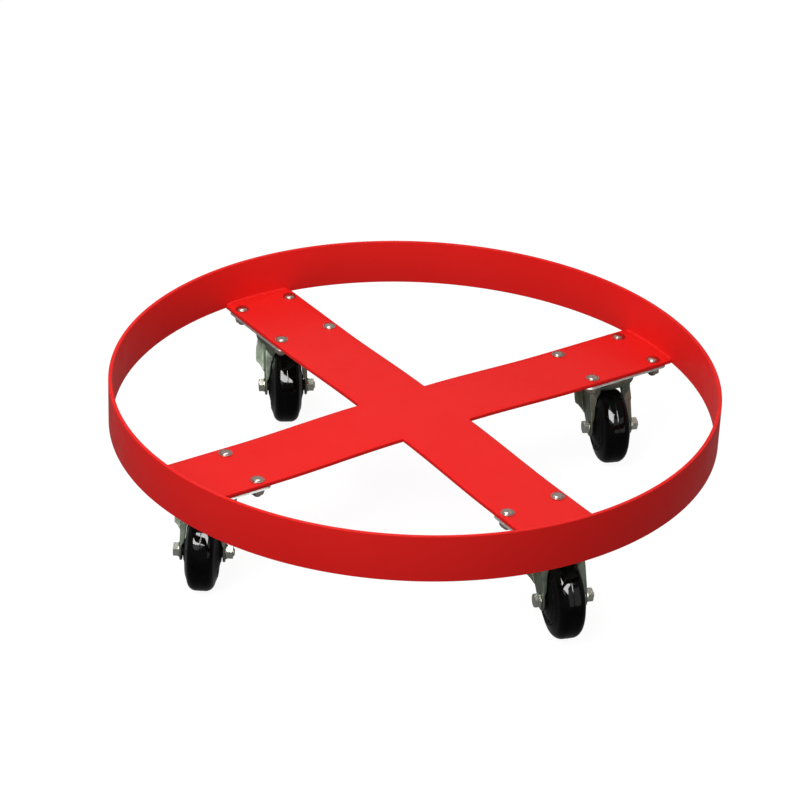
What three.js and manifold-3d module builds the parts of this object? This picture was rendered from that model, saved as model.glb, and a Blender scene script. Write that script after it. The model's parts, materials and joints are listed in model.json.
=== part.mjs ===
// Four-caster drum dolly: a rolled flat-bar ring around a flat plate cross, with a swivel caster
// bolted under the end of every arm. Millimetres, +Z up, origin on the floor under the ring's
// centre. +X runs along one pair of arms and +Y along the other.
import * as THREE from 'three';
import { mergeVertices } from 'three/addons/utils/BufferGeometryUtils.js';
import Module from 'manifold-3d';

const wasm = await Module();
wasm.setup();

// Driving dimensions.
const FIT_GAP = 0.3;             // clearance left between neighbouring pieces

const RING_INNER_RADIUS = 304.8; // a 24 inch opening
const RING_THICKNESS = 4;
const RING_HEIGHT = 49;
const RING_SIDES = 120;

const ARM_WIDTH = 80;
const ARM_THICKNESS = 4;
const CROWN_RISE = 3.6;          // the cross's middle stands this much above the arm ends
const CROWN_FLAT = 45;           // half-length of the level middle
const CROWN_START = 190;         // distance from the centre at which an arm starts to rise
const CROWN_STEPS = 4;

const CASTER_DISTANCE = 245;     // dolly's centre to swivel axis
const AXLE_DROP = 61.5;           // arm's underside to axle
const TRAIL = 30;                // swivel axis to axle
const WHEEL_RADIUS = 40;
const WHEEL_SIDES = 32;
const SHOULDER_RADIUS = 9;       // rounding between a tread's running surface and its sides
const TREAD_FLAT = 4.5;          // half-width of the level running surface

const HOLE_SPACING_ALONG = 80;   // mounting bolt pattern
const HOLE_SPACING_ACROSS = 60;
const BOLT_RADIUS = 4;
const BOLT_HOLE_RADIUS = 4.4;
const BOLT_SIDES = 10;
const HEX_ACROSS_FLATS = 13;
const NUT_HEIGHT = 6.8;
const COLLAR_RADIUS = 7.4;       // washer faces on the axle's head and nut

const PLATE_LENGTH = 105;        // caster top plate
const PLATE_WIDTH = 80;
const PLATE_THICKNESS = 2.8;
const PLATE_CORNER = 7;
const RACE_SEAT_DEPTH = 2.5;     // pressed seat under the top plate
const RACE_HEIGHT = 4.1;
const SWIVEL_SIDES = 24;

const CROWN_RADIUS = 31;         // fork's round top
const SKIRT_DEPTH = 7.2;
const SHEET = 2.4;               // fork sheet thickness
const LEG_INNER = 20;            // wheel's middle plane to inside of a leg
const HUB_HALF = 18.4;
const KINGPIN_RADIUS = 5.9;

// Heights in a caster's own frame, with zero at the arm's underside.
const PLATE_TOP = -FIT_GAP;
const PLATE_BOTTOM = PLATE_TOP - PLATE_THICKNESS;
const SEAT_BOTTOM = PLATE_BOTTOM - RACE_SEAT_DEPTH;
const RACE_TOP = SEAT_BOTTOM - FIT_GAP;
const RACE_BOTTOM = RACE_TOP - RACE_HEIGHT;
const FORK_TOP = RACE_BOTTOM - FIT_GAP;
const FORK_UNDER = FORK_TOP - SHEET;
const SKIRT_BOTTOM = FORK_TOP - SKIRT_DEPTH;

// The wheels stand on a flat of their facets, so the axle is that flat's distance from the floor.
const AXLE_HEIGHT = WHEEL_RADIUS * Math.cos(Math.PI / WHEEL_SIDES);
const MOUNT_HEIGHT = AXLE_HEIGHT + AXLE_DROP;

// One caster on each arm: the arm's direction, and the direction in which its wheel trails.
const CASTERS = [
  { name: 'caster_a', arm: 0, trail: -112 },
  { name: 'caster_b', arm: 90, trail: -119 },
  { name: 'caster_c', arm: 180, trail: -126.5 },
  { name: 'caster_d', arm: 270, trail: -109.5 },
];

const PAINT = { color: 0xe5322c, roughness: 0.4, metalness: 0.0 };
const ZINC = { color: 0xb9c0b4, roughness: 0.32, metalness: 0.9 };
const BRIGHT_ZINC = { color: 0xd3d6cc, roughness: 0.25, metalness: 0.9 };
const DARK_STEEL = { color: 0x55584f, roughness: 0.45, metalness: 0.8 };
const BLACK_TREAD = { color: 0x0b0b0c, roughness: 0.22, metalness: 0.0 };
const BLACK_HUB = { color: 0x121213, roughness: 0.35, metalness: 0.0 };

const radians = (degrees) => THREE.MathUtils.degToRad(degrees);

// Boolean helpers.
function solidOf(geometry) {
  const bare = geometry.clone();
  bare.deleteAttribute('normal');
  bare.deleteAttribute('uv');
  const merged = mergeVertices(bare, 1e-4);
  const vertProperties = new Float32Array(merged.attributes.position.array);
  const triVerts = new Uint32Array(merged.index.array);
  return new wasm.Manifold(new wasm.Mesh({ numProp: 3, vertProperties, triVerts }));
}

function geometryOf(solid) {
  const mesh = solid.getMesh();
  const geometry = new THREE.BufferGeometry();
  geometry.setAttribute('position', new THREE.BufferAttribute(mesh.vertProperties, 3));
  geometry.setIndex(new THREE.BufferAttribute(mesh.triVerts, 1));
  geometry.computeVertexNormals();
  return geometry;
}

const join = (solids) => solids.reduce((whole, piece) => whole.add(piece));
const cut = (solid, tools) => tools.reduce((rest, tool) => rest.subtract(tool), solid);

// Body of revolution about Z from [radius, height] corners, listed anticlockwise.
function turned(corners, sides) {
  const profile = corners.map(([radius, height]) => new THREE.Vector2(radius, height));
  return new THREE.LatheGeometry(profile, sides).rotateX(Math.PI / 2);
}

// The same, closed on itself instead of on the axis.
function turnedRing(corners, sides) {
  return turned([...corners, corners[0]], sides);
}

// A flat outline in X and Y, raised from one height to another.
function raised(points, bottom, top) {
  const shape = new THREE.Shape(points.map(([x, y]) => new THREE.Vector2(x, y)));
  const geometry = new THREE.ExtrudeGeometry(shape, { depth: top - bottom, bevelEnabled: false });
  return geometry.translate(0, 0, bottom);
}

// An outline in X and Z, carried from one Y to a greater one.
function crossways(points, near, far) {
  return raised(points, -far, -near).rotateX(Math.PI / 2);
}

// An outline in Y and Z, carried from one X to a greater one.
function lengthways(points, near, far) {
  return raised(points, near, far).applyMatrix4(
    new THREE.Matrix4().makeBasis(
      new THREE.Vector3(0, 1, 0),
      new THREE.Vector3(0, 0, 1),
      new THREE.Vector3(1, 0, 0),
    ),
  );
}

function disc(radius, bottom, top, sides) {
  return turned([[0, bottom], [radius, bottom], [radius, top], [0, top]], sides);
}

function polygonAcrossFlats(width, sides) {
  const radius = width / 2 / Math.cos(Math.PI / sides);
  const corner = (index) => {
    const angle = (2 * Math.PI * index) / sides;
    return [radius * Math.cos(angle), radius * Math.sin(angle)];
  };
  return Array.from({ length: sides }, (_, index) => corner(index));
}

function roundedRectangle(length, width, corner, steps) {
  const points = [];
  const centres = [[1, 1], [-1, 1], [-1, -1], [1, -1]];
  centres.forEach(([alongX, alongY], quarter) => {
    for (let step = 0; step <= steps; step += 1) {
      const angle = (Math.PI / 2) * (quarter + step / steps);
      const x = alongX * (length / 2 - corner) + corner * Math.cos(angle);
      const y = alongY * (width / 2 - corner) + corner * Math.sin(angle);
      points.push([x, y]);
    }
  });
  return points;
}

function boltPositions() {
  const halfAlong = HOLE_SPACING_ALONG / 2;
  const halfAcross = HOLE_SPACING_ACROSS / 2;
  return [
    [halfAlong, halfAcross],
    [-halfAlong, halfAcross],
    [-halfAlong, -halfAcross],
    [halfAlong, -halfAcross],
  ];
}

function drilling(bottom, top) {
  return boltPositions().map(([x, y]) =>
    solidOf(disc(BOLT_HOLE_RADIUS, bottom, top, BOLT_SIDES).translate(x, y, 0)));
}

function mesh(name, geometry, look) {
  const material = new THREE.MeshStandardMaterial(look);
  const piece = new THREE.Mesh(geometry, material);
  piece.name = name;
  return piece;
}

// Ring: flat bar rolled on edge, its underside level with the cross's.
function ring() {
  const outer = RING_INNER_RADIUS + RING_THICKNESS;
  const corners = [
    [RING_INNER_RADIUS, 0],
    [outer, 0],
    [outer, RING_HEIGHT],
    [RING_INNER_RADIUS, RING_HEIGHT],
  ];
  return turnedRing(corners, RING_SIDES);
}

// Height of an arm's underside above the ring's bottom: level ends, a slow rise, a level middle.
function crownHeight(distance) {
  const along = THREE.MathUtils.smoothstep(CROWN_START - distance, 0, CROWN_START - CROWN_FLAT);
  return CROWN_RISE * along;
}

// One pair of opposite arms as a single bar, lying along X.
function armPair() {
  const reach = RING_INNER_RADIUS + RING_THICKNESS;
  const rises = Array.from({ length: CROWN_STEPS + 1 }, (_, step) =>
    CROWN_START + ((CROWN_FLAT - CROWN_START) * step) / CROWN_STEPS);
  const stations = [-reach, ...rises.map((x) => -x), ...rises.toReversed(), reach];
  const underside = stations.map((x) => [x, crownHeight(Math.abs(x))]);
  const topside = underside.map(([x, z]) => [x, z + ARM_THICKNESS]).toReversed();
  return crossways([...underside, ...topside], -ARM_WIDTH / 2, ARM_WIDTH / 2);
}

// The plate cross: two arm pairs as one piece, its ends curved to the ring, drilled for the bolts.
function cross() {
  const endRadius = RING_INNER_RADIUS * Math.cos(Math.PI / RING_SIDES) - FIT_GAP;
  const inside = solidOf(disc(endRadius, -1, ARM_THICKNESS + CROWN_RISE + 1, RING_SIDES));
  const along = solidOf(armPair());
  const across = solidOf(armPair().rotateZ(Math.PI / 2));
  const holes = CASTERS.flatMap(({ arm }) => drilling(-1, ARM_THICKNESS + 1).map((hole) =>
    hole.translate([CASTER_DISTANCE, 0, 0]).rotate([0, 0, arm])));
  return geometryOf(cut(along.add(across).intersect(inside), holes));
}

// Mounting bolt with its nut run up under the top plate.
function mountingBolt() {
  const headBottom = ARM_THICKNESS + FIT_GAP;
  const end = -13.5;
  const corners = [
    [0, end],
    [BOLT_RADIUS - 0.7, end],
    [BOLT_RADIUS, end + 0.8],
    [BOLT_RADIUS, headBottom],
    [7, headBottom],
    [7, headBottom + 0.7],
    [5.4, headBottom + 0.9],
    [4.4, headBottom + 2.1],
    [0, headBottom + 2.8],
  ];
  const nutTop = PLATE_BOTTOM - FIT_GAP;
  const nut = raised(polygonAcrossFlats(HEX_ACROSS_FLATS, 6), nutTop - NUT_HEIGHT, nutTop);
  return geometryOf(solidOf(turned(corners, BOLT_SIDES)).add(solidOf(nut)));
}

// Top plate: rounded rectangle with a pressed bearing seat on its underside.
function topPlate() {
  const outline = roundedRectangle(PLATE_LENGTH, PLATE_WIDTH, PLATE_CORNER, 2);
  const sheet = solidOf(raised(outline, PLATE_BOTTOM, PLATE_TOP));
  const seat = [
    [0, SEAT_BOTTOM],
    [21, SEAT_BOTTOM],
    [24.5, PLATE_BOTTOM],
    [24.5, PLATE_BOTTOM + 1],
    [0, PLATE_BOTTOM + 1],
  ];
  const pinHole = solidOf(disc(KINGPIN_RADIUS + FIT_GAP, SEAT_BOTTOM - 1, 1, 14));
  const whole = sheet.add(solidOf(turned(seat, SWIVEL_SIDES)));
  return geometryOf(cut(whole, [pinHole, ...drilling(PLATE_BOTTOM - 1, 1)]));
}

// Swivel bearing's outer ring, between the top plate's seat and the fork.
function ballRace() {
  const corners = [
    [15, RACE_BOTTOM],
    [25, RACE_BOTTOM],
    [26.3, RACE_BOTTOM + RACE_HEIGHT / 2],
    [25, RACE_TOP],
    [15, RACE_TOP],
  ];
  return turnedRing(corners, SWIVEL_SIDES);
}

// Thrust ring between the fork's underside and the kingpin's head.
function lowerRace() {
  const top = FORK_UNDER - FIT_GAP;
  const corners = [
    [KINGPIN_RADIUS + FIT_GAP, top - 2.6],
    [12, top - 2.6],
    [14, top - 1],
    [14, top],
    [KINGPIN_RADIUS + FIT_GAP, top],
  ];
  return turnedRing(corners, 16);
}

function kingpin() {
  const headTop = FORK_UNDER - 2 * FIT_GAP - 2.6;
  const corners = [
    [0, headTop - 3],
    [6, headTop - 3],
    [9, headTop - 1.2],
    [9, headTop],
    [KINGPIN_RADIUS, headTop],
    [KINGPIN_RADIUS, PLATE_TOP - 0.4],
    [0, PLATE_TOP - 0.4],
  ];
  return turned(corners, 14);
}

// Side outline of a fork leg: broad under the crown, sloping back to a rounded end at the axle.
const LEG_FRONT_EDGE = [[-19, SKIRT_BOTTOM], [-1, -43], [9, -55]];
const LEG_REAR_EDGE = [[38, -53], [27, -29], [22, -21]];

function legOutline() {
  const bossRadius = 10.5;
  const boss = [];
  for (let degrees = 190; degrees <= 355; degrees += 33) {
    const angle = radians(degrees);
    boss.push([TRAIL + bossRadius * Math.cos(angle), -AXLE_DROP + bossRadius * Math.sin(angle)]);
  }
  return [[-19, FORK_TOP - 1], ...LEG_FRONT_EDGE, ...boss, ...LEG_REAR_EDGE, [21, FORK_TOP - 1]];
}

// Flange turned outward along a leg's front edge, narrowing to nothing above the axle.
function legFlange() {
  const inner = LEG_FRONT_EDGE.map(([x, z]) => [x + SHEET, z + 0.6]).toReversed();
  const strip = solidOf(crossways([...LEG_FRONT_EDGE, ...inner], LEG_INNER + 1, CROWN_RADIUS));
  const underCrown = solidOf(disc(CROWN_RADIUS, -80, 0, SWIVEL_SIDES));
  const taper = [
    [CROWN_RADIUS + 1, -46],
    [26.5, -50],
    [24, -53],
    [LEG_INNER + SHEET, -57],
    [LEG_INNER + SHEET, -70],
    [CROWN_RADIUS + 1, -70],
  ];
  return strip.intersect(underCrown).subtract(solidOf(lengthways(taper, -40, 40)));
}

// Lip turned inward along a leg's rear edge. It starts as a corner web rounded with the crown
// and narrows downwards, always clear of the wheel's tapering side.
function legLip() {
  const shell = [
    [CROWN_RADIUS - SHEET, -33],
    [CROWN_RADIUS, -33],
    [CROWN_RADIUS, FORK_UNDER],
    [CROWN_RADIUS - SHEET, FORK_UNDER],
  ];
  const inner = LEG_REAR_EDGE.map(([x, z]) => [x - SHEET, z - 0.6]).toReversed();
  const strip = crossways([...LEG_REAR_EDGE, ...inner], 10, LEG_INNER + SHEET);
  const corner = [
    [11.5, SKIRT_BOTTOM + 2],
    [11.5, SKIRT_BOTTOM],
    [12, -23.5],
    [14.6, -29],
    [16.7, -36],
    [17.4, -44],
    [LEG_INNER + 0.2, -52],
    [LEG_INNER + SHEET, -52],
    [LEG_INNER + SHEET, SKIRT_BOTTOM + 2],
  ];
  const sheets = solidOf(turnedRing(shell, SWIVEL_SIDES)).add(solidOf(strip));
  return sheets.intersect(solidOf(lengthways(corner, 5, 40)));
}

function fork() {
  const dish = [
    [KINGPIN_RADIUS + 0.7, FORK_UNDER],
    [CROWN_RADIUS - SHEET, FORK_UNDER],
    [CROWN_RADIUS - SHEET, SKIRT_BOTTOM],
    [CROWN_RADIUS, SKIRT_BOTTOM],
    [CROWN_RADIUS, FORK_TOP - 2],
    [CROWN_RADIUS - 2, FORK_TOP],
    [KINGPIN_RADIUS + 0.7, FORK_TOP],
  ];
  const leg = solidOf(crossways(legOutline(), LEG_INNER, LEG_INNER + SHEET));
  const side = join([leg, legFlange(), legLip()]);
  const whole = join([solidOf(turnedRing(dish, SWIVEL_SIDES)), side, side.mirror([0, 1, 0])]);
  const axleHole = disc(BOLT_HOLE_RADIUS, -40, 40, BOLT_SIDES).rotateX(Math.PI / 2);
  return geometryOf(whole.subtract(solidOf(axleHole.translate(TRAIL, 0, -AXLE_DROP))));
}

// Pieces on the axle are drawn along Z and laid over by axleGroup.
const LEG_FACE = LEG_INNER + SHEET + FIT_GAP;
const AXLE_END = 31.2;

function axleBolt() {
  const shank = [
    [0, -LEG_FACE - 1],
    [BOLT_RADIUS - 0.1, -LEG_FACE - 1],
    [BOLT_RADIUS - 0.1, AXLE_END - 0.8],
    [BOLT_RADIUS - 0.9, AXLE_END],
    [0, AXLE_END],
  ];
  const collar = disc(COLLAR_RADIUS, -LEG_FACE - 1.3, -LEG_FACE, BOLT_SIDES);
  const head = raised(polygonAcrossFlats(HEX_ACROSS_FLATS, 6), -LEG_FACE - 6.6, -LEG_FACE - 1);
  return geometryOf(join([turned(shank, BOLT_SIDES), collar, head].map(solidOf)));
}

function axleNut() {
  const body = raised(polygonAcrossFlats(HEX_ACROSS_FLATS, 6), LEG_FACE + 1, LEG_FACE + 7);
  const collar = disc(COLLAR_RADIUS, LEG_FACE, LEG_FACE + 1.3, BOLT_SIDES);
  const bore = disc(BOLT_RADIUS + 0.25, LEG_FACE - 1, LEG_FACE + 8, BOLT_SIDES);
  return geometryOf(solidOf(body).add(solidOf(collar)).subtract(solidOf(bore)));
}

function axleSleeve() {
  const half = LEG_INNER - FIT_GAP;
  return turnedRing([[4.3, -half], [6, -half], [6, half], [4.3, half]], BOLT_SIDES);
}

// Mirrors a half profile, given from the wheel's side face inward, to the wheel's other side.
function bothSides(halfProfile) {
  const other = halfProfile.map(([radius, across]) => [radius, -across]).toReversed();
  return [...halfProfile, ...other];
}

function wheelHub() {
  const half = [[6.4, -HUB_HALF], [11, -HUB_HALF], [18, -16.4], [23.5, -15.6], [25, -14.6]];
  return turnedRing(bothSides(half), 16);
}

// Tread: tapering sides and a rounded running surface.
function wheelTread() {
  const half = [[25 + FIT_GAP, -15.8]];
  for (const degrees of [80, 57, 34, 11, 0]) {
    const angle = radians(degrees);
    half.push([
      WHEEL_RADIUS - SHOULDER_RADIUS * (1 - Math.cos(angle)),
      -TREAD_FLAT - SHOULDER_RADIUS * Math.sin(angle),
    ]);
  }
  const tread = turnedRing(bothSides(half), WHEEL_SIDES);
  return tread.rotateZ(Math.PI / WHEEL_SIDES);
}

function axleGroup(pieces) {
  const group = new THREE.Group();
  group.add(...pieces);
  group.position.set(TRAIL, 0, -AXLE_DROP);
  group.rotation.x = -Math.PI / 2;
  return group;
}

// A caster, its bolts and its top plate square to the arm, its fork turned to its own heading.
function caster({ name, arm, trail }) {
  const swivelled = new THREE.Group();
  swivelled.rotation.z = radians(trail - arm);
  swivelled.add(
    mesh(`${name}_fork`, fork(), ZINC),
    axleGroup([
      mesh(`${name}_axle_bolt`, axleBolt(), BRIGHT_ZINC),
      mesh(`${name}_axle_nut`, axleNut(), BRIGHT_ZINC),
      mesh(`${name}_axle_sleeve`, axleSleeve(), DARK_STEEL),
      mesh(`${name}_wheel_hub`, wheelHub(), BLACK_HUB),
      mesh(`${name}_wheel_tread`, wheelTread(), BLACK_TREAD),
    ]),
  );
  const fixed = [
    mesh(`${name}_top_plate`, topPlate(), ZINC),
    mesh(`${name}_ball_race`, ballRace(), DARK_STEEL),
    mesh(`${name}_lower_race`, lowerRace(), DARK_STEEL),
    mesh(`${name}_kingpin`, kingpin(), BRIGHT_ZINC),
  ];
  const bolts = boltPositions().map(([x, y], index) => {
    const bolt = mesh(`${name}_mount_bolt_${index + 1}`, mountingBolt(), BRIGHT_ZINC);
    bolt.position.set(x, y, 0);
    return bolt;
  });
  const station = new THREE.Group();
  station.add(...fixed, ...bolts, swivelled);
  station.position.x = CASTER_DISTANCE;
  const turnedStation = new THREE.Group();
  turnedStation.rotation.z = radians(arm);
  turnedStation.add(station);
  return turnedStation;
}

const dolly = new THREE.Group();
dolly.position.z = MOUNT_HEIGHT;
dolly.add(mesh('ring', ring(), PAINT), mesh('cross', cross(), PAINT), ...CASTERS.map(caster));

const group = new THREE.Group();
group.add(dolly);

export default group;
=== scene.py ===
"""Drum dolly: the visual model of a painted ring-and-cross frame on four zinc swivel casters.

The parts' sizes are millimetres. The camera, the stage and the lights are placed in metres,
and so is every mesh that Blender gets.
"""
import json
import math

import bmesh
import bpy
from mathutils import Matrix, Vector


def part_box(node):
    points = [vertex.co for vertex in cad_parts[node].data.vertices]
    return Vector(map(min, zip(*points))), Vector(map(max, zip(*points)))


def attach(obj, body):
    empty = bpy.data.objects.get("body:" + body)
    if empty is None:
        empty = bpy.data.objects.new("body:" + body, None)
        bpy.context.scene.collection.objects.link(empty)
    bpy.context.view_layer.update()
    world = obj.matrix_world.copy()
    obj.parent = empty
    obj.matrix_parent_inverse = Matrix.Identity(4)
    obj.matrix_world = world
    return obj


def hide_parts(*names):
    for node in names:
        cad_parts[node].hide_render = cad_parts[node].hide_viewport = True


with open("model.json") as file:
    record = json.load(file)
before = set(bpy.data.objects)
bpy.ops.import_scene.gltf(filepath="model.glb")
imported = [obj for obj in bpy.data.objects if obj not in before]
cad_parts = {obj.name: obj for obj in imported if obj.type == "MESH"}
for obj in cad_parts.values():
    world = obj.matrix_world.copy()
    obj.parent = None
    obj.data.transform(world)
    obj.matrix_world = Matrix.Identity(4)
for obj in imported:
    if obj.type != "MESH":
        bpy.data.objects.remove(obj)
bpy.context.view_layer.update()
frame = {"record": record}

MM = 0.001

# ---------------------------------------------------------------------------
# Sizes taken from the frame
# ---------------------------------------------------------------------------
ring_low, ring_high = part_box("ring")
MOUNT_Z = ring_low.z / MM
RING_HEIGHT = (ring_high.z - ring_low.z) / MM
RING_OUTER = ring_high.x / MM
cross_low, cross_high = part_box("cross")
CROSS_RISE_AND_THICKNESS = (cross_high.z - cross_low.z) / MM
JOINTS = {joint["name"]: joint for joint in frame["record"]["behaviour"]["joints"]}
CASTERS = ["caster_a", "caster_b", "caster_c", "caster_d"]

# Frame
RING_THICKNESS = 4.0
ARM_WIDTH = 80.0
ARM_THICKNESS = 4.0
ARM_REACH = 304.4
CROWN_RISE = CROSS_RISE_AND_THICKNESS - ARM_THICKNESS
CROWN_FLAT = 45.0
CROWN_START = 190.0
CELLS_ACROSS = 10
CELLS_ALONG = 26
WELD_LEG = 1.8
WELD_PITCH = 2.4
WELD_INSET = 1.5
WELD_STATIONS = 220
WELD_STEPS = 10
WELD_RIPPLE = 0.10

# Caster, in its own frame: swivel axis along Z, zero height at the arm's underside,
# the wheel trailing along +X and the axle along Y.
GAP = 0.3
BOLT_ALONG = 80.0
BOLT_ACROSS = 60.0
PLATE = (105.0, 80.0, 2.8)
PLATE_CORNER = 7.0
PLATE_UNDER = -GAP - PLATE[2]
SEAT_DEPTH = 2.5
SEAT_UNDER = PLATE_UNDER - SEAT_DEPTH
RACE_TOP = SEAT_UNDER - GAP
RACE_HEIGHT = 4.1
RACE_UNDER = RACE_TOP - RACE_HEIGHT
RACE_BORE = 15.0
FORK_TOP = RACE_UNDER - GAP
SHEET = 2.4
FORK_UNDER = FORK_TOP - SHEET
SKIRT_DEPTH = 7.2
SKIRT_UNDER = FORK_TOP - SKIRT_DEPTH
LOWER_RACE_HEIGHT = 2.6
CROWN_RADIUS = 31.0
LEG_INNER = 20.0
LEG_OUTER = LEG_INNER + SHEET
LEG_FACE = LEG_OUTER + GAP
TRAIL = 30.0
AXLE_DROP = 61.5
AXLE_END = 31.2
EYE_RADIUS = 10.5
KINGPIN_RADIUS = 5.9
FORK_BORE = KINGPIN_RADIUS + 0.7
AXLE_RADIUS = 3.9
ACROSS_FLATS = 13.0
HEX_CHAMFER = math.radians(30)
COLLAR_RADIUS = 7.3
COLLAR_HEIGHT = 1.3
WHEEL_RADIUS = 39.6
HUB_HALF = 18.4
NUT_HEIGHT = 6.8
SHOULDER_RADIUS = 9.0
TREAD_FLAT = 4.5
HUB_RADIUS = 25.0
RIB_COUNT = 10
RIB_INNER = 15.0
RIB_LENGTH = 7.8
RIB_HALF_WIDTH = 0.9
RIB_LOW = 13.4
RIB_HIGH = 16.3
RIB_TAPER = 0.055


# ---------------------------------------------------------------------------
# Mesh helpers
# ---------------------------------------------------------------------------
def mesh_from(points, faces, name):
    """A mesh from points in millimetres."""
    mesh = bpy.data.meshes.new(name)
    mesh.from_pydata([tuple(c * MM for c in p) for p in points], [], faces)
    mesh.validate()
    return mesh


def lathe(profile, sides=64, radius_at=None):
    """Closed body of revolution about Z. The profile is [radius, height] anticlockwise.

    A point at radius 0 becomes one pole. radius_at(point index, angle) may reshape a point."""
    points, rings = [], []
    for index, (radius, height) in enumerate(profile):
        if radius == 0:
            rings.append([len(points)])
            points.append((0.0, 0.0, height))
            continue
        ring = []
        for side in range(sides):
            angle = 2 * math.pi * side / sides
            r, z = (radius, height) if radius_at is None else radius_at(index, angle)
            ring.append(len(points))
            points.append((r * math.cos(angle), r * math.sin(angle), z))
        rings.append(ring)
    closed_on_itself = profile[0][0] != 0
    pairs = list(zip(rings, rings[1:]))
    if closed_on_itself:
        pairs.append((rings[-1], rings[0]))
    faces = []
    for lower, upper in pairs:
        for side in range(sides):
            after = (side + 1) % sides
            if len(lower) == 1:
                faces.append((lower[0], upper[after], upper[side]))
            elif len(upper) == 1:
                faces.append((lower[side], lower[after], upper[0]))
            else:
                faces.append((lower[side], lower[after], upper[after], upper[side]))
    return points, faces


def prism(outline, low, high):
    """An anticlockwise outline in X and Y, raised from low to high."""
    count = len(outline)
    points = [(x, y, low) for x, y in outline] + [(x, y, high) for x, y in outline]
    faces = [tuple(reversed(range(count))), tuple(range(count, 2 * count))]
    for index in range(count):
        after = (index + 1) % count
        faces.append((index, after, after + count, index + count))
    return points, faces


def turned(part, matrix):
    """The same part with its points moved by a matrix whose lengths are millimetres."""
    points, faces = part
    return [tuple(matrix @ Vector(p)) for p in points], faces


def joined(*parts):
    """Several parts as one list of points and faces, each staying a shell of its own."""
    points, faces = [], []
    for part_points, part_faces in parts:
        start = len(points)
        points += part_points
        faces += [tuple(i + start for i in face) for face in part_faces]
    return points, faces


def arc(centre, radius, first, last, steps):
    """Points on an arc, angles in degrees."""
    points = []
    for step in range(steps + 1):
        angle = math.radians(first + (last - first) * step / steps)
        points.append((centre[0] + radius * math.cos(angle), centre[1] + radius * math.sin(angle)))
    return points


def rounded_profile(corners, radius, steps=3):
    """A closed profile with each corner replaced by a small arc-like fillet."""
    rounded = []
    count = len(corners)
    for index, corner in enumerate(corners):
        here = Vector(corner)
        before, after = Vector(corners[index - 1]), Vector(corners[(index + 1) % count])
        to_before, to_after = before - here, after - here
        reach = min(radius, to_before.length * 0.45, to_after.length * 0.45)
        start = here + to_before.normalized() * reach
        end = here + to_after.normalized() * reach
        for step in range(steps + 1):
            t = step / steps
            point = start.lerp(here, t).lerp(here.lerp(end, t), t)
            rounded.append((point.x, point.y))
    return rounded


def smooth(mesh, limit=32.0):
    """Smooth shading, with edges sharper than limit degrees kept crisp."""
    work = bmesh.new()
    work.from_mesh(mesh)
    bmesh.ops.recalc_face_normals(work, faces=work.faces)
    for edge in work.edges:
        edge.smooth = len(edge.link_faces) != 2 or edge.calc_face_angle(0.0) < math.radians(limit)
    for face in work.faces:
        face.smooth = True
    work.to_mesh(mesh)
    work.free()
    return mesh


def baked(mesh, *modifiers):
    """The mesh after modifiers, each given as (type, {setting: value})."""
    holder = bpy.data.objects.new("bake", mesh)
    bpy.context.scene.collection.objects.link(holder)
    for kind, settings in modifiers:
        modifier = holder.modifiers.new(kind, kind)
        for key, value in settings.items():
            setattr(modifier, key, value)
    bpy.context.view_layer.update()
    evaluated = holder.evaluated_get(bpy.context.evaluated_depsgraph_get())
    result = bpy.data.meshes.new_from_object(evaluated)
    bpy.data.objects.remove(holder)
    return result


def bevelled(part, name, width, segments=2, limit=30.0):
    mesh = mesh_from(*part, name)
    settings = {
        "width": width * MM,
        "segments": segments,
        "limit_method": "ANGLE",
        "angle_limit": math.radians(limit),
    }
    return smooth(baked(mesh, ("BEVEL", settings)), 40.0)


def piece(name, mesh, material, body, matrix, nodes=()):
    """Puts a copy of the mesh in place, on its body, standing for its CAD nodes."""
    placed = mesh.copy()
    placed.transform(matrix)
    placed.materials.append(material)
    obj = bpy.data.objects.new(name, placed)
    bpy.context.scene.collection.objects.link(obj)
    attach(obj, body)
    if nodes:
        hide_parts(*nodes)
    return obj


# ---------------------------------------------------------------------------
# Materials
# ---------------------------------------------------------------------------
# The Mix node has a socket of the same name for each data type: these are its colour ones.
MIX_FIRST, MIX_SECOND, MIX_COLOUR = 6, 7, 2


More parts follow.
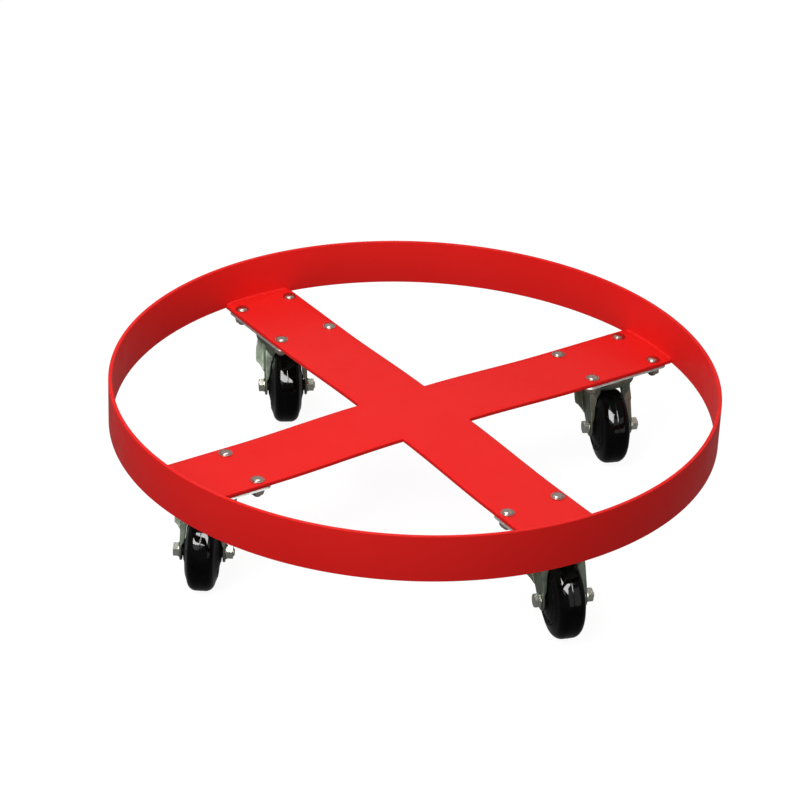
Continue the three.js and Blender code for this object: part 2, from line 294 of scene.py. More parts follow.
class Nodes:
    """A short way to build a shader's node tree."""

    def __init__(self, name):
        self.material = bpy.data.materials.new(name)
        self.material.use_nodes = True
        self.tree = self.material.node_tree
        self.tree.nodes.clear()
        self.shader = self.add("ShaderNodeBsdfPrincipled")
        self.output = self.add("ShaderNodeOutputMaterial")
        self.link(self.shader, "BSDF", self.output, "Surface")
        self.place = self.add("ShaderNodeTexCoord")

    def add(self, kind, **settings):
        node = self.tree.nodes.new(kind)
        for key, value in settings.items():
            setattr(node, key, value)
        return node

    def link(self, source, output, target, socket):
        self.tree.links.new(source.outputs[output], target.inputs[socket])

    def noise(self, scale, detail=3.0, roughness=0.5, stretch=None):
        node = self.add("ShaderNodeTexNoise")
        node.inputs["Scale"].default_value = scale
        node.inputs["Detail"].default_value = detail
        node.inputs["Roughness"].default_value = roughness
        if stretch:
            mapping = self.add("ShaderNodeMapping")
            mapping.inputs["Scale"].default_value = stretch
            self.link(self.place, "Object", mapping, "Vector")
            self.link(mapping, "Vector", node, "Vector")
        else:
            self.link(self.place, "Object", node, "Vector")
        return node

    def cells(self, scale):
        node = self.add("ShaderNodeTexVoronoi")
        node.inputs["Scale"].default_value = scale
        self.link(self.place, "Object", node, "Vector")
        return node

    def ramp(self, source, stops):
        """Colours by a texture's value: stops are (position, colour)."""
        node = self.add("ShaderNodeValToRGB")
        elements = node.color_ramp.elements
        while len(elements) > len(stops):
            elements.remove(elements[-1])
        while len(elements) < len(stops):
            elements.new(1.0)
        for element, (position, colour) in zip(elements, stops):
            element.position = position
            element.color = (*colour, 1.0)
        self.link(source, "Fac", node, "Fac")
        return node

    def spread(self, source, low, high):
        """A texture's value spread between two numbers."""
        node = self.add("ShaderNodeMapRange")
        node.inputs["From Min"].default_value = 0.3
        node.inputs["From Max"].default_value = 0.7
        node.inputs["To Min"].default_value = low
        node.inputs["To Max"].default_value = high
        self.link(source, "Fac", node, "Value")
        return node

    def base_blend(self, factor, first, second):
        """Colours the surface with two colour nodes, mixed by a factor node."""
        node = self.add("ShaderNodeMix", data_type="RGBA")
        self.link(factor, "Result", node, "Factor")
        self.tree.links.new(first.outputs["Color"], node.inputs[MIX_FIRST])
        self.tree.links.new(second.outputs["Color"], node.inputs[MIX_SECOND])
        self.tree.links.new(node.outputs[MIX_COLOUR], self.shader.inputs["Base Color"])

    def bump(self, layers, distance=0.0002):
        """Stacks bumps: each layer is (texture node, output, strength)."""
        before = None
        for source, output, strength in layers:
            node = self.add("ShaderNodeBump")
            node.inputs["Strength"].default_value = strength
            node.inputs["Distance"].default_value = distance
            self.link(source, output, node, "Height")
            if before:
                self.link(before, "Normal", node, "Normal")
            before = node
        self.link(before, "Normal", self.shader, "Normal")

    def set(self, **values):
        for key, value in values.items():
            self.shader.inputs[key.replace("_", " ")].default_value = value


def red_paint():
    """Bright red powder coat: fine orange peel, a faint drift of shade, dust in the gloss."""
    n = Nodes("red_paint")
    drift = n.noise(5.0, 4.0)
    specks = n.noise(900.0, 2.0)
    shade = n.ramp(drift, [(0.3, (0.78, 0.013, 0.011)), (0.7, (0.83, 0.018, 0.015))])
    dusty = n.ramp(specks, [(0.0, (0.81, 0.016, 0.013)), (1.0, (0.76, 0.011, 0.010))])
    factor = n.spread(specks, 0.0, 0.35)
    n.base_blend(factor, shade, dusty)
    gloss = n.spread(n.noise(38.0, 5.0, 0.6), 0.33, 0.45)
    n.link(gloss, "Result", n.shader, "Roughness")
    peel = n.noise(420.0, 2.0)
    n.bump([(peel, "Fac", 0.10), (n.noise(1600.0, 2.0), "Fac", 0.05)], 0.0003)
    n.set(Specular_IOR_Level=0.11)
    return n.material


def zinc(name, light, dark, roughness, tint):
    """Zinc plate: mottled passivation, fine drawing lines from the press, slight stains. On the mount
    bolt heads the stain tint is a painted reflection of the red paint.
    """
    n = Nodes(name)
    mottle = n.noise(140.0, 5.0, 0.62)
    plate = n.ramp(mottle, [(0.32, dark), (0.68, light)])
    stain_and_reflection = n.ramp(n.noise(45.0, 3.0), [(0.35, light), (0.65, tint)])
    factor = n.spread(n.noise(70.0, 4.0), 0.0, 0.6)
    n.base_blend(factor, plate, stain_and_reflection)
    rough = n.spread(n.noise(260.0, 4.0, 0.6), roughness - 0.07, roughness + 0.1)
    n.link(rough, "Result", n.shader, "Roughness")
    lines = n.noise(900.0, 2.0, 0.5, (0.05, 1.0, 1.0))
    n.bump([(lines, "Fac", 0.12), (n.noise(500.0, 3.0), "Fac", 0.10)], 0.0002)
    n.set(Metallic=1.0)
    return n.material


def black_tread():
    """Hard glossy black tread: faint moulding marks, a few scuffs and a trace of dust."""
    n = Nodes("black_tread")
    base = n.ramp(n.noise(60.0, 4.0), [(0.3, (0.001, 0.001, 0.001)), (0.75, (0.003, 0.003, 0.003))])
    dust = n.ramp(n.noise(240.0, 5.0), [(0.5, (0.001, 0.001, 0.001)), (0.9, (0.008, 0.008, 0.007))])
    factor = n.spread(n.noise(90.0, 4.0), 0.0, 0.4)
    n.base_blend(factor, base, dust)
    rough = n.spread(n.noise(110.0, 5.0, 0.6), 0.04, 0.09)
    n.link(rough, "Result", n.shader, "Roughness")
    scuffs = n.noise(300.0, 3.0, 0.5, (1.0, 0.12, 1.0))
    n.bump([(n.noise(700.0, 3.0), "Fac", 0.07), (scuffs, "Fac", 0.06)], 0.0002)
    n.set(Specular_IOR_Level=0.07)
    return n.material


def black_hub():
    """Moulded black plastic with a fine eggshell grain."""
    n = Nodes("black_hub")
    base = n.ramp(n.noise(80.0, 4.0), [(0.3, (0.002, 0.002, 0.002)), (0.7, (0.006, 0.006, 0.006))])
    n.link(base, "Color", n.shader, "Base Color")
    rough = n.spread(n.noise(200.0, 4.0), 0.30, 0.44)
    n.link(rough, "Result", n.shader, "Roughness")
    n.bump([(n.cells(1100.0), "Distance", 0.12), (n.noise(120.0, 3.0), "Fac", 0.06)], 0.0002)
    n.set(Specular_IOR_Level=0.08)
    return n.material


def pale_floor():
    """Plain white studio floor that glows, so that shadows on it stay faint."""
    n = Nodes("pale_floor")
    n.set(Base_Color=(0.14, 0.14, 0.14, 1.0), Roughness=0.9, Specular_IOR_Level=0.0)
    n.set(Emission_Color=(1.0, 1.0, 1.0, 1.0), Emission_Strength=0.93)
    return n.material


def pale_backdrop():
    """Even white glow for the wall behind the floor's edge."""
    n = Nodes("pale_backdrop")
    n.set(Base_Color=(0.0, 0.0, 0.0, 1.0), Roughness=0.9, Specular_IOR_Level=0.0)
    n.set(Emission_Color=(1.0, 1.0, 1.0, 1.0), Emission_Strength=1.0)
    return n.material


RED = red_paint()
# Forks: zinc sheet with a green passivation tint, its colour darkened as painted shade under the arms.
FORK_ZINC_PAINTED_SHADE = zinc("zinc_sheet", (0.28, 0.33, 0.27), (0.15, 0.19, 0.14), 0.40, (0.21, 0.23, 0.16))
# Top plates: the forks' zinc sheet made near white, as painted light on the plate edges under the arms.
PLATE_ZINC_PAINTED_LIGHT = zinc("plate_zinc_painted_light", (0.86, 0.87, 0.84), (0.66, 0.68, 0.64), 0.46, (0.78, 0.77, 0.70))
BRIGHT = zinc("bright_zinc", (0.72, 0.74, 0.67), (0.42, 0.45, 0.39), 0.24, (0.56, 0.54, 0.43))
# Mount bolt heads: bright zinc darkened as painted shade, its dark colour and stain tint reddish as a
# painted reflection of the red paint.
HEAD_ZINC_SHADE_AND_RED_REFLECTION = zinc("head_zinc_shade_and_red_reflection", (0.64, 0.58, 0.52), (0.42, 0.33, 0.29), 0.22, (0.54, 0.34, 0.28))
# Bearing races and axle sleeve: dark steel, its colour made near black as painted shade, the races
# sitting in shadow under the top plates.
DARK_STEEL_AND_SHADE = zinc("dark_steel", (0.07, 0.07, 0.07), (0.03, 0.03, 0.03), 0.42, (0.05, 0.04, 0.03))
TREAD = black_tread()
HUB = black_hub()


# ---------------------------------------------------------------------------
# Ring, cross and welds
# ---------------------------------------------------------------------------
def ring_mesh():
    """Flat bar rolled on edge, its corners rounded by the paint."""
    inner = RING_OUTER - RING_THICKNESS
    corners = [(inner, 0), (RING_OUTER, 0), (RING_OUTER, RING_HEIGHT), (inner, RING_HEIGHT)]
    profile = rounded_profile(corners, 0.9, 4)
    return smooth(mesh_from(*lathe(profile, 288), "ring_bar"))


def crown_height(distance):
    """Height of an arm's underside above the ring's bottom, as in the CAD: a smooth rise."""
    t = (CROWN_START - distance) / (CROWN_START - CROWN_FLAT)
    t = min(max(t, 0.0), 1.0)
    return CROWN_RISE * t * t * (3 - 2 * t)


def cross_mesh():
    """The plus-shaped plate as a grid of cells, its ends curved to the ring."""
    half = ARM_WIDTH / 2
    side = CELLS_ACROSS // 2
    across = [half * step / side for step in range(-side, side + 1)]
    along = [half + (ARM_REACH - half) * step / CELLS_ALONG for step in range(1, CELLS_ALONG + 1)]
    lines = [-v for v in reversed(along)] + across + along

    def corner(i, j):
        x, y = lines[i], lines[j]
        if abs(x) == ARM_REACH:
            x = math.copysign(math.sqrt(ARM_REACH**2 - y**2), x)
        if abs(y) == ARM_REACH:
            y = math.copysign(math.sqrt(ARM_REACH**2 - x**2), y)
        return x, y, crown_height(max(abs(x), abs(y)))

    points, index_of, faces = [], {}, []

    def index(i, j, top):
        """The number of a corner's point, which is made the first time it is asked for."""
        key = (i, j, top)
        if key not in index_of:
            x, y, z = corner(i, j)
            index_of[key] = len(points)
            points.append((x, y, z + (ARM_THICKNESS if top else 0.0)))
        return index_of[key]

    def solid(i, j):
        """Whether the grid's cell belongs to the plus."""
        if not (0 <= i < len(lines) - 1 and 0 <= j < len(lines) - 1):
            return False
        x = (lines[i] + lines[i + 1]) / 2
        y = (lines[j] + lines[j + 1]) / 2
        return abs(x) < half or abs(y) < half

    for i in range(len(lines) - 1):
        for j in range(len(lines) - 1):
            if not solid(i, j):
                continue
            square = [(i, j), (i + 1, j), (i + 1, j + 1), (i, j + 1)]
            faces.append(tuple(index(a, b, True) for a, b in square))
            faces.append(tuple(index(a, b, False) for a, b in reversed(square)))
            walls = [((i, j - 1), 0, 1), ((i + 1, j), 1, 2), ((i, j + 1), 2, 3), ((i - 1, j), 3, 0)]
            for neighbour, a, b in walls:
                if not solid(*neighbour):
                    first, second = square[a], square[b]
                    faces.append((
                        index(*first, False), index(*second, False),
                        index(*second, True), index(*first, True),
                    ))
    return bevelled((points, faces), "cross_plate", 0.5, 2, 50.0)


def weld_mesh():
    """A fillet bead in the corner between an arm's top and the ring's inner wall."""
    radius = RING_OUTER - RING_THICKNESS
    half_angle = math.asin((ARM_WIDTH / 2 - WELD_INSET) / radius)
    length = 2 * half_angle * radius
    points, faces = [], []
    for station in range(WELD_STATIONS + 1):
        along = station / WELD_STATIONS
        angle = (2 * along - 1) * half_angle
        phase = (along * length / WELD_PITCH) % 1.0
        ripple = 1.0 + WELD_RIPPLE * math.sqrt(max(0.0, 1.0 - (2 * phase - 1) ** 2)) - 0.05
        end = min(1.0, 12 * along, 12 * (1 - along))
        leg = WELD_LEG * ripple * (0.35 + 0.65 * math.sqrt(end))
        section = [(0.25, -0.25)]
        for step in range(WELD_STEPS + 1):
            turn = math.radians(90 * step / WELD_STEPS)
            bulge = leg * (0.80 + 0.20 * abs(math.cos(2 * turn)))
            section.append((-bulge * math.cos(turn), bulge * math.sin(turn)))
        for inward, up in section:
            r = radius + inward
            points.append((r * math.cos(angle), r * math.sin(angle), ARM_THICKNESS + up))
    size = WELD_STEPS + 2
    for station in range(WELD_STATIONS):
        for k in range(size):
            a = station * size + k
            b = station * size + (k + 1) % size
            faces.append((a, b, b + size, a + size))
    faces.append(tuple(range(size)))
    faces.append(tuple(reversed(range(WELD_STATIONS * size, (WELD_STATIONS + 1) * size))))
    return smooth(mesh_from(points, faces, "weld_bead"), 60.0)


base = Matrix.Translation((0, 0, MOUNT_Z * MM))
piece("ring_bar", ring_mesh(), RED, "frame", base, ["ring"])
piece("cross_plate", cross_mesh(), RED, "frame", base, ["cross"])
WELD = weld_mesh()
for quarter in range(4):
    spin = Matrix.Rotation(math.radians(90 * quarter), 4, "Z")
    piece(f"weld_bead_{quarter + 1}", WELD, RED, "frame", base @ spin)


# ---------------------------------------------------------------------------
# Caster parts, made once each in the caster's own frame
# ---------------------------------------------------------------------------
def hexagon(low, high, bore):
    """A hexagon head or nut about Z with turned chamfers at both ends."""
    flat = ACROSS_FLATS / 2
    rim = flat * 0.97
    slope = math.tan(HEX_CHAMFER)

    def corner_radius(angle):
        """How far the hexagon's outline is from its middle at an angle."""
        off = (angle + math.pi / 6) % (math.pi / 3) - math.pi / 6
        return flat / math.cos(off)

    profile = [(bore, low), (rim, low), (flat, low), (flat, high), (rim, high), (bore, high)]

    def reshape(index, angle):
        """Gives the two middle points the hexagon's outline and turns its corners down."""
        radius = corner_radius(angle)
        drop = (radius - rim) * slope
        if index == 2:
            return radius, low + drop
        if index == 3:
            return radius, high - drop
        return profile[index]

    return lathe(profile, 72, reshape)


def threaded(radius, low, high, pitch=1.25):
    """A stud's end with thread ridges, closed at both ends on the axis."""
    profile = [(0, low), (radius - 0.9, low), (radius - 0.1, low + 0.7)]
    height = low + 0.7
    while height + pitch < high:
        profile += [
            (radius, height + pitch * 0.35),
            (radius - 0.6, height + pitch * 0.75),
            (radius, height + pitch * 0.95),
        ]
        height += pitch
    profile += [(radius, high), (0, high)]
    return lathe(profile, 32)


def mount_bolt_mesh():
    """Low round head on a washer flange, nut below the plate, threads past the nut."""
    under = ARM_THICKNESS + GAP
    head = [
        (0, -2.0), (4.0, -2.0), (4.0, under), (6.8, under), (7.0, under + 0.2),
        (7.0, under + 0.5), (6.8, under + 0.7), (5.9, under + 0.75), (5.75, under + 1.2),
        (5.3, under + 1.75), (4.4, under + 2.25), (3.1, under + 2.6), (1.6, under + 2.76),
        (0, under + 2.8),
    ]
    nut_top = PLATE_UNDER - GAP
    nut = hexagon(nut_top - NUT_HEIGHT, nut_top, bore=3.0)
    shank = threaded(AXLE_RADIUS, -13.5, -1.9)
    return smooth(mesh_from(*joined(lathe(head, 40), nut, shank), "mount_bolt"), 28.0)


def rounded_rectangle(length, width, corner, steps=8):
    """An anticlockwise rectangle about the origin, its corners round."""
    points = []
    for quarter, (sx, sy) in enumerate([(1, 1), (-1, 1), (-1, -1), (1, -1)]):
        centre = (sx * (length / 2 - corner), sy * (width / 2 - corner))
        points += arc(centre, corner, 90 * quarter, 90 * quarter + 90, steps)
    return points


def top_plate_mesh():
    """Rounded plate with its dished bearing seat below it."""
    sheet = prism(rounded_rectangle(PLATE[0], PLATE[1], PLATE_CORNER), PLATE_UNDER, -GAP)
    bore = KINGPIN_RADIUS + 0.4
    seat = lathe(rounded_profile([
        (bore, SEAT_UNDER), (20.5, SEAT_UNDER), (21.5, SEAT_UNDER + 0.4),
        (24.3, PLATE_UNDER + 0.1), (27.5, PLATE_UNDER - 0.05), (27.5, PLATE_UNDER + 0.6),
        (bore, PLATE_UNDER + 0.6),
    ], 0.9, 3), 72)
    plate = bevelled(sheet, "top_plate", 0.5, 2)
    both = bmesh.new()
    both.from_mesh(plate)
    both.from_mesh(mesh_from(*seat, "seat"))
    both.to_mesh(plate)
    both.free()
    return smooth(plate, 40.0)


def ball_race_mesh():
    """Outer race with a rolled lip, and a thin cage ring just under it."""
    race = lathe(rounded_profile([
        (RACE_BORE, RACE_UNDER + 0.9), (24.6, RACE_UNDER + 0.9), (26.2, RACE_UNDER + 1.9),
        (25.6, RACE_TOP), (RACE_BORE, RACE_TOP),
    ], 0.7, 3), 72)
    cage = lathe(rounded_profile([
        (17.0, RACE_UNDER), (23.0, RACE_UNDER), (23.4, RACE_UNDER + 1.2), (17.0, RACE_UNDER + 1.2),
    ], 0.4, 2), 72)
    return smooth(mesh_from(*joined(race, cage), "ball_race"))


def lower_race_mesh():
    """Small cupped race under the fork's crown."""
    top = FORK_UNDER - GAP
    bottom = top - LOWER_RACE_HEIGHT
    bore = KINGPIN_RADIUS + GAP
    profile = rounded_profile([
        (bore, bottom), (12.0, bottom), (14.0, top - 1.0), (14.0, top), (bore, top),
    ], 0.5, 3)
    return smooth(mesh_from(*lathe(profile, 48), "lower_race"))


def kingpin_mesh():
    """Headed pin whose end is riveted over, with a small dimple from the tool."""
    top = FORK_UNDER - 2 * GAP - LOWER_RACE_HEIGHT
    profile = [
        (0, top - 2.1), (1.6, top - 2.2), (2.4, top - 3.0), (5.4, top - 3.0), (7.6, top - 2.3),
        (8.8, top - 1.2), (9.0, top - 0.3), (8.8, top), (KINGPIN_RADIUS, top),
        (KINGPIN_RADIUS, -GAP - 0.6), (KINGPIN_RADIUS - 0.3, -GAP - 0.4), (0, -GAP - 0.4),
    ]
    return smooth(mesh_from(*lathe(profile, 48), "kingpin"))


# The fork's sheets are fused at this voxel size in millimetres, then thinned to this share of faces.
VOXEL = 0.45
KEPT_FACES = 0.22
LEG_FRONT = [(-19.0, SKIRT_UNDER), (-1.0, -43.0), (9.0, -55.0)]
LEG_REAR = [(38.0, -53.0), (27.0, -29.0), (22.0, -21.0)]
# Lays an outline given in X and Z down along Y, and one given in Y and Z along X.
ALONG_Y = Matrix(((1, 0, 0, 0), (0, 0, -1, 0), (0, 1, 0, 0), (0, 0, 0, 1)))
ALONG_X = Matrix(((0, 0, 1, 0), (1, 0, 0, 0), (0, 1, 0, 0), (0, 0, 0, 1)))


def crossways(outline, near, far):
    """A prism of an outline in X and Z, from near to far along Y."""
    return turned(prism(outline, -far, -near), ALONG_Y)


def lengthways(outline, near, far):
    """A prism of an outline in Y and Z, from near to far along X."""
    return turned(prism(outline, near, far), ALONG_X)


def solid_object(part, name):
    """The part as an object in the scene, for a boolean to use."""
    mesh = smooth(mesh_from(*part, name))
    obj = bpy.data.objects.new(name, mesh)
    bpy.context.scene.collection.objects.link(obj)
    return obj


def boolean(part, operations, name):
    """The part after exact boolean steps, each (operation, other part)."""
    tools = [(kind, solid_object(other, f"{name}_tool")) for kind, other in operations]
    steps = [("BOOLEAN", {"operation": kind, "object": tool, "solver": "EXACT"}) for kind, tool in tools]
    mesh = baked(smooth(mesh_from(*part, name)), *steps)
    for _, tool in tools:
        bpy.data.objects.remove(tool)
    return mesh


def fork_mesh():
    """Pressed fork: its sheets are joined, then rounded together like a pressing."""
    eye = arc((TRAIL, -AXLE_DROP), EYE_RADIUS, 190, 355, 14)
    leg_outline = [(-19.0, FORK_TOP - 1.0), *LEG_FRONT, *eye, *LEG_REAR, (21.0, FORK_TOP - 1.0)]
    inner_wall = CROWN_RADIUS - SHEET
    dish = lathe([
        (FORK_BORE, FORK_UNDER), (inner_wall, FORK_UNDER),
        (inner_wall, SKIRT_UNDER), (CROWN_RADIUS, SKIRT_UNDER),
        (CROWN_RADIUS, FORK_TOP - 2.4), (CROWN_RADIUS - 0.7, FORK_TOP - 0.8),
        (CROWN_RADIUS - 2.4, FORK_TOP), (FORK_BORE, FORK_TOP),
    ], 96)
    flange_inner = [(x + SHEET, z + 0.6) for x, z in reversed(LEG_FRONT)]
    flange_taper = [
        (CROWN_RADIUS + 1, -90), (LEG_OUTER, -90), (LEG_OUTER, -57.5), (23.1, -55.2),
        (24.2, -53), (26.5, -50), (28.8, -47.6), (CROWN_RADIUS + 1, -46),
    ]
    flange = boolean(crossways([*LEG_FRONT, *flange_inner], LEG_INNER + 1, CROWN_RADIUS), [
        ("INTERSECT", lathe([(0, -95), (CROWN_RADIUS, -95), (CROWN_RADIUS, 0), (0, 0)], 96)),
        ("DIFFERENCE", lengthways(flange_taper, -45, 45)),
    ], "flange")
    lip_inner = [(x - SHEET, z - 0.6) for x, z in reversed(LEG_REAR)]
    corner = [
        (11.2, SKIRT_UNDER + 2), (11.2, SKIRT_UNDER), (11.5, -23.5), (13.8, -29), (16.1, -36),
        (16.9, -44), (17.8, -49), (LEG_INNER, -53), (LEG_OUTER, -53), (LEG_OUTER, SKIRT_UNDER + 2),
    ]
    lip = boolean(crossways([*LEG_REAR, *lip_inner], 10, LEG_OUTER), [
        ("INTERSECT", lengthways(corner, 5, 45)),
    ], "lip")
    shell = lathe([
        (inner_wall, -33), (CROWN_RADIUS, -33), (CROWN_RADIUS, FORK_UNDER), (inner_wall, FORK_UNDER),
    ], 96)
    web = boolean(shell, [("INTERSECT", lengthways(corner, 5, 45))], "web")

    whole = bmesh.new()
    whole.from_mesh(mesh_from(*dish, "dish"))
    leg = mesh_from(*crossways(leg_outline, LEG_INNER, LEG_OUTER), "leg")
    for mesh in (leg, flange, lip, web):
        whole.from_mesh(mesh)
        mirrored = mesh.copy()
        mirrored.transform(Matrix.Scale(-1, 4, (0, 1, 0)))
        mirrored.flip_normals()
        whole.from_mesh(mirrored)
    rough = bpy.data.meshes.new("fork")
    bmesh.ops.recalc_face_normals(whole, faces=whole.faces)
    whole.to_mesh(rough)
    whole.free()
    fused = baked(
        rough,
        ("REMESH", {"mode": "VOXEL", "voxel_size": VOXEL * MM}),
        ("SMOOTH", {"factor": 0.5, "iterations": 9}),
        ("DECIMATE", {"ratio": KEPT_FACES}),
    )
    return smooth(fused, 80.0)


def collar(bore, low, high):
    """The round washer face of a flanged head or nut."""
    corners = [(bore, low), (COLLAR_RADIUS, low), (COLLAR_RADIUS, high), (bore, high)]
    return lathe(rounded_profile(corners, 0.4, 3), 48)


def axle_bolt_mesh():
    """Hexagon head with a washer face and a domed end, and a ridged shank."""
    flange = collar(3.0, -LEG_FACE - COLLAR_HEIGHT, -LEG_FACE)
    dome = lathe([(0, -LEG_FACE - 6.6), (3.0, -LEG_FACE - 6.55), (5.0, -LEG_FACE - 6.3),
                  (5.6, -LEG_FACE - 5.8), (0, -LEG_FACE - 5.5)], 48)
    head = hexagon(-LEG_FACE - 6.2, -LEG_FACE - 1.0, bore=2.0)
    shank = turned(threaded(AXLE_RADIUS, -AXLE_END, LEG_FACE + 1.5), Matrix.Rotation(math.pi, 4, "X"))
    return smooth(mesh_from(*joined(flange, dome, head, shank), "axle_bolt"), 28.0)


def axle_nut_mesh():
    """Hexagon nut with a washer face."""
    flange = collar(4.2, LEG_FACE, LEG_FACE + COLLAR_HEIGHT)
    nut = hexagon(LEG_FACE + 1.0, LEG_FACE + 7.0, bore=4.15)
    return smooth(mesh_from(*joined(flange, nut), "axle_nut"), 28.0)


def axle_sleeve_mesh():
    """Plain tube on the axle between the legs."""
    half = LEG_INNER - GAP
    profile = rounded_profile([(4.3, -half), (6.0, -half), (6.0, half), (4.3, half)], 0.3, 3)
    return smooth(mesh_from(*lathe(profile, 40), "axle_sleeve"))


def both_sides(half_profile):
    """A closed profile from its lower half and the mirror image of it."""
    return half_profile + [(radius, -across) for radius, across in reversed(half_profile)]


def tapered_rib(low, high):
    """A rib along X on the hub's web, which gets lower towards the rim."""
    outer = RIB_INNER + RIB_LENGTH
    outline = [
        (RIB_INNER, -RIB_HALF_WIDTH), (outer, -RIB_HALF_WIDTH),
        (outer, RIB_HALF_WIDTH), (RIB_INNER, RIB_HALF_WIDTH),
    ]
    points, faces = prism(outline, low, high)
    return [(x, y, z * (1 - RIB_TAPER * (x - RIB_INNER) / RIB_LENGTH)) for x, y, z in points], faces


def wheel_hub_mesh():
    """Moulded hub: boss with a bearing ring, dished web with raised ribs, stepped rim."""
    half = [
        (6.4, -HUB_HALF + 0.5), (7.0, -HUB_HALF), (8.6, -HUB_HALF), (8.8, -HUB_HALF + 0.5),
        (9.2, -HUB_HALF + 0.5), (9.4, -HUB_HALF), (10.4, -HUB_HALF), (11.0, -HUB_HALF + 0.5),
        (17.4, -16.5), (18.6, -16.1), (21.6, -14.6), (22.4, -14.8),
        (23.0, -15.5), (24.4, -15.4), (HUB_RADIUS, -14.6),
    ]
    disc = lathe(both_sides(half), 96)
    ribs = []
    for index in range(RIB_COUNT):
        turn = Matrix.Rotation(math.radians(360 / RIB_COUNT * index), 4, "Z")
        for low, high in ((-RIB_HIGH, -RIB_LOW), (RIB_LOW, RIB_HIGH)):
            ribs.append(turned(tapered_rib(low, high), turn))
    body = mesh_from(*disc, "wheel_hub")
    whole = bmesh.new()
    whole.from_mesh(body)
    whole.from_mesh(bevelled(joined(*ribs), "ribs", 0.35, 2))
    whole.to_mesh(body)
    whole.free()
    return smooth(body, 40.0)


def wheel_tread_mesh():
    """Tapering side walls, rounded shoulders and a fine parting line round the middle."""
    inner = HUB_RADIUS + GAP
    half = [(inner, -15.3), (inner + 0.5, -15.7)]
    centre = (WHEEL_RADIUS - SHOULDER_RADIUS, TREAD_FLAT)
    half += [(radius, -across) for radius, across in arc(centre, SHOULDER_RADIUS, 82, 0, 12)]
    half += [(WHEEL_RADIUS, -0.7), (WHEEL_RADIUS, -0.5), (WHEEL_RADIUS + 0.12, -0.3)]
    return smooth(mesh_from(*lathe(both_sides(half), 128), "wheel_tread"), 40.0)


PARTS = {
    "top_plate": (top_plate_mesh(), PLATE_ZINC_PAINTED_LIGHT, "zinc_sheet"),
    "ball_race": (ball_race_mesh(), DARK_STEEL_AND_SHADE, "dark_steel"),
    "lower_race": (lower_race_mesh(), DARK_STEEL_AND_SHADE, "dark_steel"),
    "kingpin": (kingpin_mesh(), BRIGHT, "bright_zinc"),
    "fork": (fork_mesh(), FORK_ZINC_PAINTED_SHADE, "zinc_sheet"),
    "axle_bolt": (axle_bolt_mesh(), BRIGHT, "bright_zinc"),
    "axle_nut": (axle_nut_mesh(), BRIGHT, "bright_zinc"),
    "axle_sleeve": (axle_sleeve_mesh(), DARK_STEEL_AND_SHADE, "dark_steel"),
    "wheel_hub": (wheel_hub_mesh(), HUB, "black_hub"),
    "wheel_tread": (wheel_tread_mesh(), TREAD, "black_tread"),
    "mount_bolt": (mount_bolt_mesh(), HEAD_ZINC_SHADE_AND_RED_REFLECTION, "bright_zinc"),
}
ON_PLATE = ["top_plate", "ball_race", "lower_race", "kingpin"]
ON_AXLE = ["axle_bolt", "axle_nut", "axle_sleeve"]
ON_WHEEL = ["wheel_hub", "wheel_tread"]
# Each mounting bolt is turned this many degrees further than the last, as if tightened by hand.
BOLT_TURN = 37


def add(caster, kind, body, matrix, suffix=""):
    """Puts one kind of part on a caster, in place of the CAD node of the same name."""
    mesh, material, slot = PARTS[kind]
    node = f"{caster}_{kind}{suffix}"
    piece(f"{node}_piece", mesh, material, body, matrix, [node])


def build_caster(caster):
    """Places every piece of a caster, its wheel trailing as its joints say."""
    swivel = Vector(JOINTS[f"{caster}_swivel_turn"]["pos_m"])
    wheel = Vector(JOINTS[f"{caster}_wheel_spin"]["pos_m"])
    arm = math.atan2(swivel.y, swivel.x)
    heading = math.atan2(wheel.y - swivel.y, wheel.x - swivel.x)
    station = Matrix.Translation((swivel.x, swivel.y, MOUNT_Z * MM))
    square = station @ Matrix.Rotation(arm, 4, "Z")
    trailing = station @ Matrix.Rotation(heading, 4, "Z")
    axle = Matrix.Translation((TRAIL * MM, 0, -AXLE_DROP * MM)) @ Matrix.Rotation(-math.pi / 2, 4, "X")
    for kind in ON_PLATE:
        add(caster, kind, "frame", square)
    corners = [(1, 1), (-1, 1), (-1, -1), (1, -1)]
    for number, (x, y) in enumerate(corners, start=1):
        place = Matrix.Translation((x * BOLT_ALONG / 2 * MM, y * BOLT_ACROSS / 2 * MM, 0))
        angle = BOLT_TURN * number + 90 * CASTERS.index(caster)
        turn = Matrix.Rotation(math.radians(angle), 4, "Z")
        add(caster, "mount_bolt", "frame", square @ place @ turn, f"_{number}")
    add(caster, "fork", f"{caster}_swivel", trailing)
    for kind in ON_AXLE:
        add(caster, kind, f"{caster}_swivel", trailing @ axle)
    for kind in ON_WHEEL:
        add(caster, kind, f"{caster}_wheel", trailing @ axle)


for name in CASTERS:
    build_caster(name)


# ---------------------------------------------------------------------------
# Camera, floor and lights
# ---------------------------------------------------------------------------
CAMERA_AZIMUTH = -35.45
CAMERA_ELEVATION = 29.42
CAMERA_DISTANCE = 3.148
CAMERA_ROLL = 2.53
# Turns of the camera off the ring's bottom centre, in degrees.
CAMERA_PAN = 0.25337
CAMERA_TILT = 0.33844
SENSOR = 36.0
LENS = 139.41
FLOOR_HALF = 9.0
FLOOR_DROP = 0.0002
WALL_RADIUS = 8.5
WALL_HEIGHT = 9.0
WALL_THICKNESS = 0.1
WORLD_ABOVE = 0.47
WORLD_BELOW = 0.20


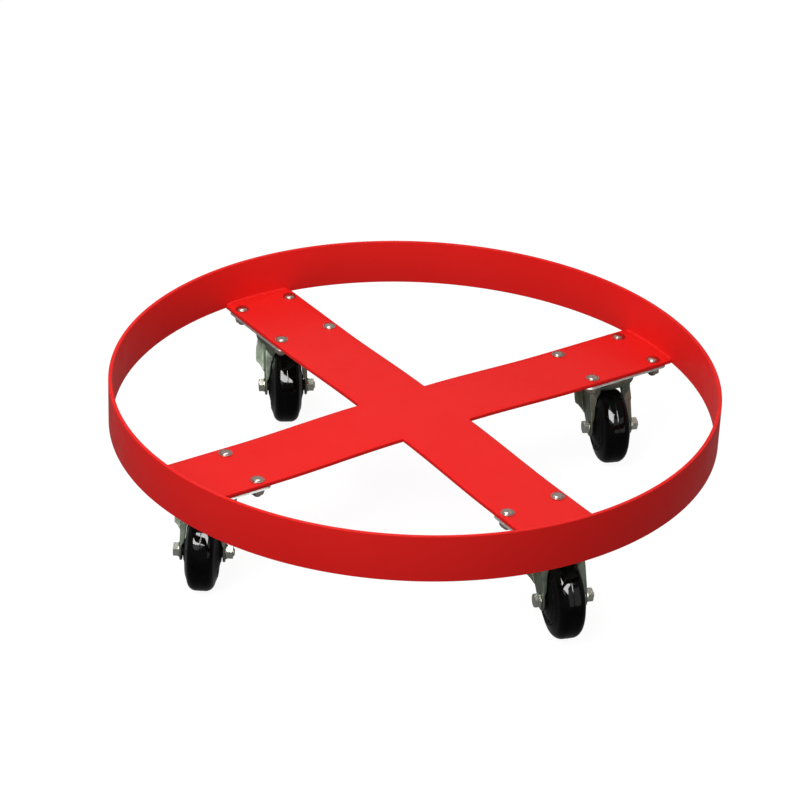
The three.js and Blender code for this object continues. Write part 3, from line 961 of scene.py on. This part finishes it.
def make_camera():
    """Looks at the ring's bottom centre, then rolls, pans and tilts."""
    a, e = math.radians(CAMERA_AZIMUTH), math.radians(CAMERA_ELEVATION)
    back = Vector((math.sin(a) * math.cos(e), -math.cos(a) * math.cos(e), math.sin(e)))
    centre = Vector((0, 0, MOUNT_Z * MM))
    data = bpy.data.cameras.new("camera")
    data.sensor_width = SENSOR
    data.lens = LENS
    data.clip_start, data.clip_end = 0.1, 50
    camera = bpy.data.objects.new("camera", data)
    bpy.context.scene.collection.objects.link(camera)
    level = (-back).to_track_quat("-Z", "Y").to_matrix()
    roll = Matrix.Rotation(math.radians(CAMERA_ROLL), 3, "Z")
    pan = Matrix.Rotation(math.radians(CAMERA_PAN), 3, "Y")
    tilt = Matrix.Rotation(math.radians(CAMERA_TILT), 3, "X")
    turn = level @ roll @ pan @ tilt
    camera.matrix_world = Matrix.Translation(centre + back * CAMERA_DISTANCE) @ turn.to_4x4()
    bpy.context.scene.camera = camera


def make_stage():
    """A floor and a round wall, seen by the camera but kept out of the object's lighting."""
    floor = bpy.data.meshes.new("floor")
    signs = [(-1, -1), (1, -1), (1, 1), (-1, 1)]
    floor.from_pydata([(x * FLOOR_HALF, y * FLOOR_HALF, 0) for x, y in signs], [], [(0, 1, 2, 3)])
    floor.materials.append(pale_floor())
    outside = WALL_RADIUS + WALL_THICKNESS
    profile = [
        (WALL_RADIUS, -0.01), (outside, -0.01), (outside, WALL_HEIGHT), (WALL_RADIUS, WALL_HEIGHT),
    ]
    wall = mesh_from(*lathe([(radius / MM, z / MM) for radius, z in profile], 64), "wall")
    wall.materials.append(pale_backdrop())
    for mesh in (floor, wall):
        obj = bpy.data.objects.new(mesh.name, mesh)
        obj.location.z = -FLOOR_DROP
        obj.visible_diffuse = False
        obj.visible_glossy = False
        obj.visible_shadow = False
        bpy.context.scene.collection.objects.link(obj)


def area_light(name, place, target, width, height, power, only=()):
    """A rectangular light. With only, it shows as a reflection in those objects and nowhere else."""
    data = bpy.data.lights.new(name, "AREA")
    data.shape = "RECTANGLE"
    data.size, data.size_y = width, height
    data.energy = power
    light = bpy.data.objects.new(name, data)
    light.location = place
    light.rotation_mode = "QUATERNION"
    light.rotation_quaternion = (Vector(target) - Vector(place)).to_track_quat("-Z", "Y")
    bpy.context.scene.collection.objects.link(light)
    if only:
        receivers = bpy.data.collections.new(f"{name}_receivers")
        for obj in only:
            receivers.objects.link(obj)
        light.light_linking.receiver_collection = receivers
        light.visible_diffuse = False


def toward(side, distance, height):
    """A point round the object, its side measured in degrees from the camera's, plus to the right."""
    a = math.radians(CAMERA_AZIMUTH + side)
    return (math.sin(a) * distance, -math.cos(a) * distance, height)


def studio_world():
    """Soft light from every side above the horizon, and a dim one from below it."""
    world = bpy.data.worlds.new("studio")
    world.use_nodes = True
    tree = world.node_tree
    background = tree.nodes["Background"]
    background.inputs["Color"].default_value = (1.0, 1.0, 1.0, 1.0)
    place = tree.nodes.new("ShaderNodeTexCoord")
    axes = tree.nodes.new("ShaderNodeSeparateXYZ")
    shade = tree.nodes.new("ShaderNodeMapRange")
    shade.interpolation_type = "SMOOTHSTEP"
    shade.inputs["From Min"].default_value = -0.25
    shade.inputs["From Max"].default_value = 0.45
    shade.inputs["To Min"].default_value = WORLD_BELOW
    shade.inputs["To Max"].default_value = WORLD_ABOVE
    tree.links.new(place.outputs["Generated"], axes.inputs["Vector"])
    tree.links.new(axes.outputs["Z"], shade.inputs["Value"])
    tree.links.new(shade.outputs["Result"], background.inputs["Strength"])
    return world


def pieces_of(*kinds):
    """Every caster's pieces of these kinds."""
    return [bpy.data.objects[f"{caster}_{kind}_piece"] for caster in CASTERS for kind in kinds]


def make_lights():
    """A soft overhead and key light, and four that light only the parts named."""
    middle = (0, 0, 0.12)
    treads = pieces_of("wheel_tread")
    axles = pieces_of("axle_bolt", "axle_nut")
    area_light("overhead", toward(-75, 0.12, 0.95), middle, 0.4, 0.4, 2.6)
    area_light("key", toward(-28, 1.65, 1.60), middle, 1.1, 1.1, 23.0)
    area_light("glint", toward(-13, 0.92, 1.5), middle, 2.0, 1.0, 600.0, only=treads)
    area_light("card", toward(42, 1.6, 0.8), middle, 1.0, 1.3, 12.0, only=treads + axles)
    area_light("sparkle", toward(-13, 0.92, 1.5), middle, 0.5, 0.4, 8.0, only=axles)
    area_light("bounce", toward(0, 0.5, -0.4), middle, 1.6, 1.6, 11.0, only=pieces_of("top_plate"))
    bpy.context.scene.world = studio_world()


make_camera()
make_stage()
make_lights()
bpy.context.scene.view_settings.view_transform = "Standard"
